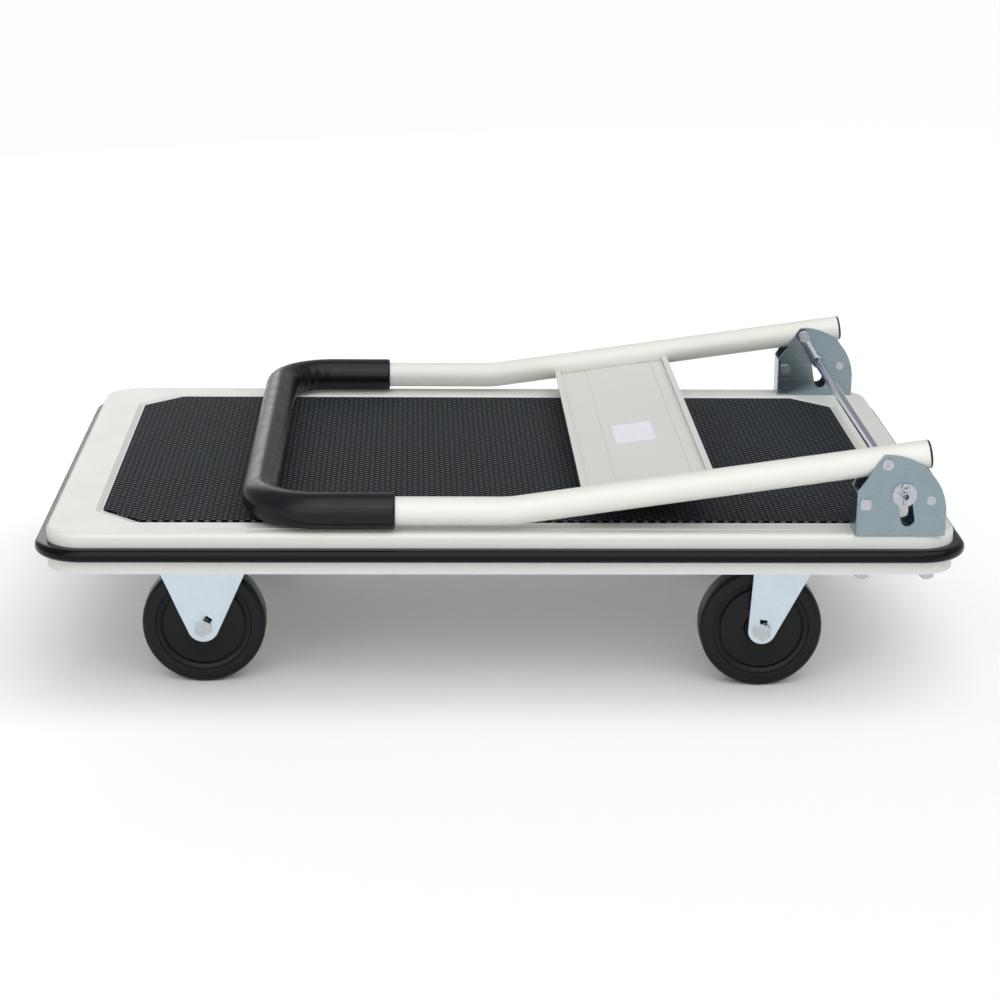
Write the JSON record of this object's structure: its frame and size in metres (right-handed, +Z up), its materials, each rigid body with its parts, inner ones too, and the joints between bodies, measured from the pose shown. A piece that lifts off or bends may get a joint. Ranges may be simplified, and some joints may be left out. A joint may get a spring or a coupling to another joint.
{
  "type": "folding platform cart",
  "caption": "Flat hand truck: pressed steel deck with rubber mat and bumper on fixed and swivel casters, with a foam-gripped tube handle that folds down flat on it.",
  "frame": {"origin": "on the floor, under the middle of the deck", "axes": "+X along the deck towards the handle hinges, +Y across to the right seen from behind the handle, +Z up; handle folded down"},
  "size_m": [0.918, 0.614, 0.278],
  "materials": {
    "cream_paint": "satin powder coat",
    "zinc_plate": "bright blue-white zinc plate",
    "mat_rubber": "embossed matte rubber",
    "bumper_rubber": "satin extruded strip",
    "grip_foam": "satin foam skin",
    "wheel_plastic": "satin moulded",
    "tyre_rubber": "matte solid tyre",
    "cap_plastic": "satin moulded",
    "label_film": "smooth film"
  },
  "bodies": {
    "deck_frame": {"axle_bolt_fixed_left": "zinc_plate", "axle_bolt_fixed_right": "zinc_plate", "axle_nut_fixed_left": "zinc_plate", "axle_nut_fixed_right": "zinc_plate", "axle_sleeve_fixed_left": "zinc_plate", "axle_sleeve_fixed_right": "zinc_plate", "bracket_backing_left": "cream_paint", "bracket_backing_right": "cream_paint", "bracket_bolts": "zinc_plate", "bracket_nuts": "zinc_plate", "bracket_washers": "zinc_plate", "caster_bolts": "zinc_plate", "caster_nuts": "zinc_plate", "deck_mat": "mat_rubber", "deck_shell": "cream_paint", "edge_bumper": "bumper_rubber", "fixed_caster_channel": "cream_paint", "fixed_fork_left": "zinc_plate", "fixed_fork_right": "zinc_plate", "hinge_bracket_left": "zinc_plate", "hinge_bracket_right": "zinc_plate", "kingpin_left": "zinc_plate", "kingpin_right": "zinc_plate", "pivot_pins": "zinc_plate", "rod_spring_left": "zinc_plate", "rod_spring_right": "zinc_plate", "spacer_rivets": "zinc_plate", "stop_pins": "zinc_plate", "swivel_caster_channel": "cream_paint", "swivel_plate_left": "zinc_plate", "swivel_plate_right": "zinc_plate"},
    "handle": {"handle_tube": "cream_paint", "tail_caps": "cap_plastic", "foam_grip": "grip_foam", "cross_panel": "cream_paint", "blank_label": "label_film"},
    "release_bar": {"release_rod": "zinc_plate", "rod_washers": "zinc_plate", "rod_split_pins": "zinc_plate"},
    "swivel_left": {"swivel_fork_left": "zinc_plate", "swivel_balls_left": "zinc_plate", "axle_bolt_swivel_left": "zinc_plate", "axle_nut_swivel_left": "zinc_plate", "axle_sleeve_swivel_left": "zinc_plate"},
    "swivel_right": {"swivel_fork_right": "zinc_plate", "swivel_balls_right": "zinc_plate", "axle_bolt_swivel_right": "zinc_plate", "axle_nut_swivel_right": "zinc_plate", "axle_sleeve_swivel_right": "zinc_plate"},
    "wheel_fixed_left": {"tyre_fixed_left": "tyre_rubber", "wheel_core_fixed_left": "wheel_plastic"},
    "wheel_fixed_right": {"tyre_fixed_right": "tyre_rubber", "wheel_core_fixed_right": "wheel_plastic"},
    "wheel_swivel_left": {"tyre_swivel_left": "tyre_rubber", "wheel_core_swivel_left": "wheel_plastic"},
    "wheel_swivel_right": {"tyre_swivel_right": "tyre_rubber", "wheel_core_swivel_right": "wheel_plastic"}
  },
  "joints": [
    {"name": "handle_fold", "type": "hinge", "parent": "deck_frame", "child": "handle", "pos_m": [0.371, 0, 0.258], "axis": [0, 1, 0], "range_deg": [0, 98.2]},
    {"name": "release_slide", "type": "slide", "parent": "deck_frame", "child": "release_bar", "axis": [0.1736, 0, -0.9848], "range_m": [0, 0.0286], "deforming": ["rod_spring_left", "rod_spring_right"]},
    {"name": "swivel_turn_left", "type": "hinge", "parent": "deck_frame", "child": "swivel_left", "pos_m": [0.3, -0.203, 0.142], "axis": [0, 0, 1], "continuous": true},
    {"name": "swivel_turn_right", "type": "hinge", "parent": "deck_frame", "child": "swivel_right", "pos_m": [0.3, 0.203, 0.142], "axis": [0, 0, 1], "continuous": true},
    {"name": "wheel_spin_fixed_left", "type": "hinge", "parent": "deck_frame", "child": "wheel_fixed_left", "pos_m": [-0.3, -0.19, 0.0625], "axis": [0, 1, 0], "continuous": true},
    {"name": "wheel_spin_fixed_right", "type": "hinge", "parent": "deck_frame", "child": "wheel_fixed_right", "pos_m": [-0.3, 0.19, 0.0625], "axis": [0, 1, 0], "continuous": true},
    {"name": "wheel_spin_swivel_left", "type": "hinge", "parent": "swivel_left", "child": "wheel_swivel_left", "pos_m": [0.266, -0.203, 0.0625], "axis": [0, 1, 0], "continuous": true},
    {"name": "wheel_spin_swivel_right", "type": "hinge", "parent": "swivel_right", "child": "wheel_swivel_right", "pos_m": [0.266, 0.203, 0.0625], "axis": [0, 1, 0], "continuous": true}
  ],
  "couplings": [
    {"joint": "release_slide", "follows": "handle_fold", "m_per_rad": 0.016629}
  ]
}
